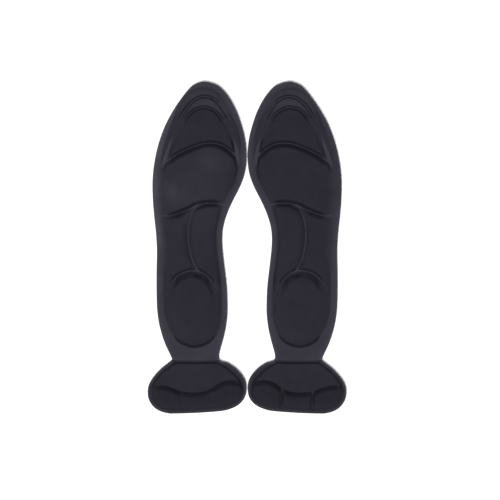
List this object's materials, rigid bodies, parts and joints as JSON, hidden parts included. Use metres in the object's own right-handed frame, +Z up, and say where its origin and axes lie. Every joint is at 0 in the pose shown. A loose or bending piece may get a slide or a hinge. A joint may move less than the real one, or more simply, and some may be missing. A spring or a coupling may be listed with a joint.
{
  "type": "cushioned insole",
  "caption": "Left and right moulded foam insoles for heeled shoes, knit covered, with pressed toe, ball, arch and heel cushions and a fold-up heel grip.",
  "frame": {"origin": "middle of the pair's bounding box, on the surface that it lies on", "axes": "+Y to the toes, +X to the right-foot insole, +Z up, seen as a pair lying flat with toes ahead"},
  "size_m": [0.1654, 0.276, 0.0075],
  "materials": {
    "knit_cover": "matt brushed knit, near black",
    "foam_core": "soft closed-skin foam, black",
    "backing_cloth": "smooth non-woven cloth, black",
    "adhesive": "clear tacky film",
    "release_film": "silicone-coated paper, cream"
  },
  "bodies": {
    "left_toe": {"left_toe_foam": "foam_core", "left_toe_cover": "knit_cover", "left_toe_backing": "backing_cloth"},
    "left_ball": {"left_ball_foam": "foam_core", "left_ball_cover": "knit_cover", "left_ball_backing": "backing_cloth", "left_ball_adhesive": "adhesive"},
    "left_arch": {"left_arch_foam": "foam_core", "left_arch_cover": "knit_cover", "left_arch_backing": "backing_cloth"},
    "left_heel": {"left_heel_foam": "foam_core", "left_heel_cover": "knit_cover", "left_heel_backing": "backing_cloth", "left_heel_adhesive": "adhesive"},
    "left_grip": {"left_grip_foam": "foam_core", "left_grip_cover": "knit_cover", "left_grip_backing": "backing_cloth", "left_grip_adhesive": "adhesive"},
    "left_ball_liner": {"left_ball_liner": "release_film"},
    "left_heel_liner": {"left_heel_liner": "release_film"},
    "left_grip_liner": {"left_grip_liner": "release_film"},
    "right_toe": {"right_toe_foam": "foam_core", "right_toe_cover": "knit_cover", "right_toe_backing": "backing_cloth"},
    "right_ball": {"right_ball_foam": "foam_core", "right_ball_cover": "knit_cover", "right_ball_backing": "backing_cloth", "right_ball_adhesive": "adhesive"},
    "right_arch": {"right_arch_foam": "foam_core", "right_arch_cover": "knit_cover", "right_arch_backing": "backing_cloth"},
    "right_heel": {"right_heel_foam": "foam_core", "right_heel_cover": "knit_cover", "right_heel_backing": "backing_cloth", "right_heel_adhesive": "adhesive"},
    "right_grip": {"right_grip_foam": "foam_core", "right_grip_cover": "knit_cover", "right_grip_backing": "backing_cloth", "right_grip_adhesive": "adhesive"},
    "right_ball_liner": {"right_ball_liner": "release_film"},
    "right_heel_liner": {"right_heel_liner": "release_film"},
    "right_grip_liner": {"right_grip_liner": "release_film"}
  },
  "joints": [
    {"name": "left_toe_flex", "type": "hinge", "parent": "left_ball", "child": "left_toe", "pos_m": [-0.038, 0.08, 0.0025], "axis": [0.9945, 0.1045, 0], "range_deg": [0, 45], "stiffness_Nm_per_rad": 0.01},
    {"name": "left_shank_flex", "type": "hinge", "parent": "left_ball", "child": "left_arch", "pos_m": [-0.046, 0.031, 0.0025], "axis": [-0.9945, -0.1045, 0], "range_deg": [0, 35], "stiffness_Nm_per_rad": 0.02},
    {"name": "left_heel_level", "type": "hinge", "parent": "left_arch", "child": "left_heel", "pos_m": [-0.046, -0.024, 0.00027], "axis": [0.9945, 0.1045, 0], "range_deg": [0, 35]},
    {"name": "left_grip_fold", "type": "hinge", "parent": "left_heel", "child": "left_grip", "pos_m": [-0.043, -0.094, 0.0025], "axis": [-1, 0, 0], "range_deg": [0, 100]},
    {"name": "left_ball_liner_peel", "type": "slide", "parent": "left_ball", "child": "left_ball_liner", "axis": [-1, 0, 0], "range_m": [0, 0.07]},
    {"name": "left_heel_liner_peel", "type": "slide", "parent": "left_heel", "child": "left_heel_liner", "axis": [-1, 0, 0], "range_m": [0, 0.055]},
    {"name": "left_grip_liner_peel", "type": "slide", "parent": "left_grip", "child": "left_grip_liner", "axis": [-1, 0, 0], "range_m": [0, 0.078]},
    {"name": "right_toe_flex", "type": "hinge", "parent": "right_ball", "child": "right_toe", "pos_m": [0.038, 0.08, 0.0025], "axis": [0.9945, -0.1045, 0], "range_deg": [0, 45], "stiffness_Nm_per_rad": 0.01},
    {"name": "right_shank_flex", "type": "hinge", "parent": "right_ball", "child": "right_arch", "pos_m": [0.046, 0.031, 0.0025], "axis": [-0.9945, 0.1045, 0], "range_deg": [0, 35], "stiffness_Nm_per_rad": 0.02},
    {"name": "right_heel_level", "type": "hinge", "parent": "right_arch", "child": "right_heel", "pos_m": [0.046, -0.024, 0.00027], "axis": [0.9945, -0.1045, 0], "range_deg": [0, 35]},
    {"name": "right_grip_fold", "type": "hinge", "parent": "right_heel", "child": "right_grip", "pos_m": [0.043, -0.094, 0.0025], "axis": [-1, 0, 0], "range_deg": [0, 100]},
    {"name": "right_ball_liner_peel", "type": "slide", "parent": "right_ball", "child": "right_ball_liner", "axis": [1, 0, 0], "range_m": [0, 0.07]},
    {"name": "right_heel_liner_peel", "type": "slide", "parent": "right_heel", "child": "right_heel_liner", "axis": [1, 0, 0], "range_m": [0, 0.055]},
    {"name": "right_grip_liner_peel", "type": "slide", "parent": "right_grip", "child": "right_grip_liner", "axis": [1, 0, 0], "range_m": [0, 0.078]},
    {"name": "pair_apart", "type": "slide", "parent": "left_ball", "child": "right_ball", "axis": [1, 0, 0], "range_m": [0, 0.12]}
  ],
  "couplings": [
    {"joint": "left_heel_level", "follows": "left_shank_flex", "ratio": 1},
    {"joint": "right_heel_level", "follows": "right_shank_flex", "ratio": 1}
  ]
}
